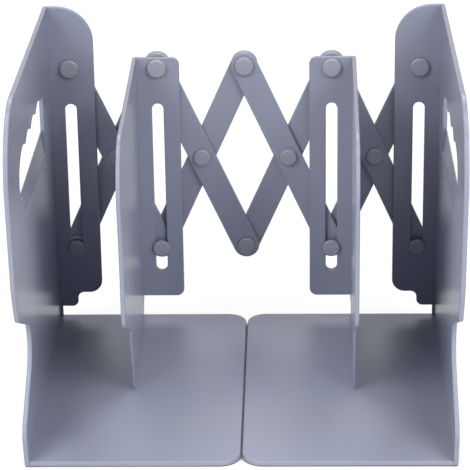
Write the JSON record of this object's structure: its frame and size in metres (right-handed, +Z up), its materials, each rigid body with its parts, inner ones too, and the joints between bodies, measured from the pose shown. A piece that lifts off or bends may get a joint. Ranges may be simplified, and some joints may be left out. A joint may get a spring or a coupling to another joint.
{
  "type": "expandable bookend",
  "caption": "Free-standing bookend with L-shaped ends and hanging dividers on a scissor linkage that pulls apart sideways to hold more books.",
  "frame": {"origin": "on the floor, below the centre of the closed bookend's bounding box", "axes": "+X along the scissor, to the right as seen from the front; +Y to the back, where the scissor is; +Z up"},
  "size_m": [0.196, 0.1878, 0.1732],
  "materials": {
    "shell_plastic": "semi-gloss moulded, slate blue-grey",
    "link_plastic": "semi-gloss moulded, slate blue-grey",
    "rivet_plastic": "satin moulded, neutral grey"
  },
  "bodies": {
    "left_end": {"left_bracket": "shell_plastic", "upper_rivet_1_post": "rivet_plastic", "upper_rivet_1_socket": "rivet_plastic"},
    "front_link_1": {"front_link_1": "link_plastic", "cross_rivet_1_post": "rivet_plastic", "cross_rivet_1_socket": "rivet_plastic", "lower_rivet_2_post": "rivet_plastic", "lower_rivet_2_socket": "rivet_plastic"},
    "rear_link_1": {"rear_link_1": "link_plastic", "lower_rivet_1_post": "rivet_plastic", "lower_rivet_1_socket": "rivet_plastic", "lower_left_spacer": "rivet_plastic"},
    "left_divider": {"left_divider": "shell_plastic", "upper_rivet_2_post": "rivet_plastic", "upper_rivet_2_socket": "rivet_plastic"},
    "front_link_2": {"front_link_2": "link_plastic", "cross_rivet_2_post": "rivet_plastic", "cross_rivet_2_socket": "rivet_plastic", "lower_rivet_3_post": "rivet_plastic", "lower_rivet_3_socket": "rivet_plastic"},
    "rear_link_2": {"rear_link_2": "link_plastic", "upper_rivet_3_post": "rivet_plastic", "upper_rivet_3_socket": "rivet_plastic"},
    "front_link_3": {"front_link_3": "link_plastic", "cross_rivet_3_post": "rivet_plastic", "cross_rivet_3_socket": "rivet_plastic", "lower_rivet_4_post": "rivet_plastic", "lower_rivet_4_socket": "rivet_plastic"},
    "rear_link_3": {"rear_link_3": "link_plastic"},
    "right_divider": {"right_divider": "shell_plastic", "upper_rivet_4_post": "rivet_plastic", "upper_rivet_4_socket": "rivet_plastic"},
    "front_link_4": {"front_link_4": "link_plastic", "cross_rivet_4_post": "rivet_plastic", "cross_rivet_4_socket": "rivet_plastic", "lower_rivet_5_post": "rivet_plastic", "lower_rivet_5_socket": "rivet_plastic"},
    "rear_link_4": {"rear_link_4": "link_plastic"},
    "right_end": {"right_bracket": "shell_plastic", "upper_rivet_5_post": "rivet_plastic", "upper_rivet_5_socket": "rivet_plastic", "upper_right_spacer": "rivet_plastic"}
  },
  "joints": [
    {"name": "scissor_open", "type": "hinge", "parent": "left_end", "child": "front_link_1", "pos_m": [-0.0861, 0.0875, 0.13637], "axis": [0, -1, 0], "range_deg": [0, 53.9]},
    {"name": "cell_1_cross", "type": "hinge", "parent": "front_link_1", "child": "rear_link_1", "pos_m": [-0.06457, 0.0885, 0.08848], "axis": [0, -1, 0], "range_deg": [-107.8, 0]},
    {"name": "left_divider_hang", "type": "hinge", "parent": "rear_link_1", "child": "left_divider", "pos_m": [-0.04305, 0.0885, 0.13637], "axis": [0, -1, 0], "range_deg": [0, 53.9]},
    {"name": "cell_2_top", "type": "hinge", "parent": "rear_link_1", "child": "front_link_2", "pos_m": [-0.04305, 0.0885, 0.13637], "axis": [0, -1, 0], "range_deg": [0, 107.8]},
    {"name": "cell_2_cross", "type": "hinge", "parent": "front_link_2", "child": "rear_link_2", "pos_m": [-0.02152, 0.0885, 0.08848], "axis": [0, -1, 0], "range_deg": [-107.8, 0]},
    {"name": "cell_3_top", "type": "hinge", "parent": "rear_link_2", "child": "front_link_3", "pos_m": [0, 0.0885, 0.13637], "axis": [0, -1, 0], "range_deg": [0, 107.8]},
    {"name": "cell_3_cross", "type": "hinge", "parent": "front_link_3", "child": "rear_link_3", "pos_m": [0.02152, 0.0885, 0.08848], "axis": [0, -1, 0], "range_deg": [-107.8, 0]},
    {"name": "right_divider_hang", "type": "hinge", "parent": "rear_link_3", "child": "right_divider", "pos_m": [0.04305, 0.0885, 0.13637], "axis": [0, -1, 0], "range_deg": [0, 53.9]},
    {"name": "cell_4_top", "type": "hinge", "parent": "rear_link_3", "child": "front_link_4", "pos_m": [0.04305, 0.0885, 0.13637], "axis": [0, -1, 0], "range_deg": [0, 107.8]},
    {"name": "cell_4_cross", "type": "hinge", "parent": "front_link_4", "child": "rear_link_4", "pos_m": [0.06457, 0.0885, 0.08848], "axis": [0, -1, 0], "range_deg": [-107.8, 0]},
    {"name": "right_end_hang", "type": "hinge", "parent": "rear_link_4", "child": "right_end", "pos_m": [0.0861, 0.0885, 0.13637], "axis": [0, -1, 0], "range_deg": [0, 53.9]}
  ],
  "couplings": [
    {"joint": "cell_1_cross", "follows": "scissor_open", "ratio": -2},
    {"joint": "left_divider_hang", "follows": "scissor_open", "ratio": 1},
    {"joint": "cell_2_top", "follows": "scissor_open", "ratio": 2},
    {"joint": "cell_2_cross", "follows": "scissor_open", "ratio": -2},
    {"joint": "cell_3_top", "follows": "scissor_open", "ratio": 2},
    {"joint": "cell_3_cross", "follows": "scissor_open", "ratio": -2},
    {"joint": "right_divider_hang", "follows": "scissor_open", "ratio": 1},
    {"joint": "cell_4_top", "follows": "scissor_open", "ratio": 2},
    {"joint": "cell_4_cross", "follows": "scissor_open", "ratio": -2},
    {"joint": "right_end_hang", "follows": "scissor_open", "ratio": 1}
  ]
}
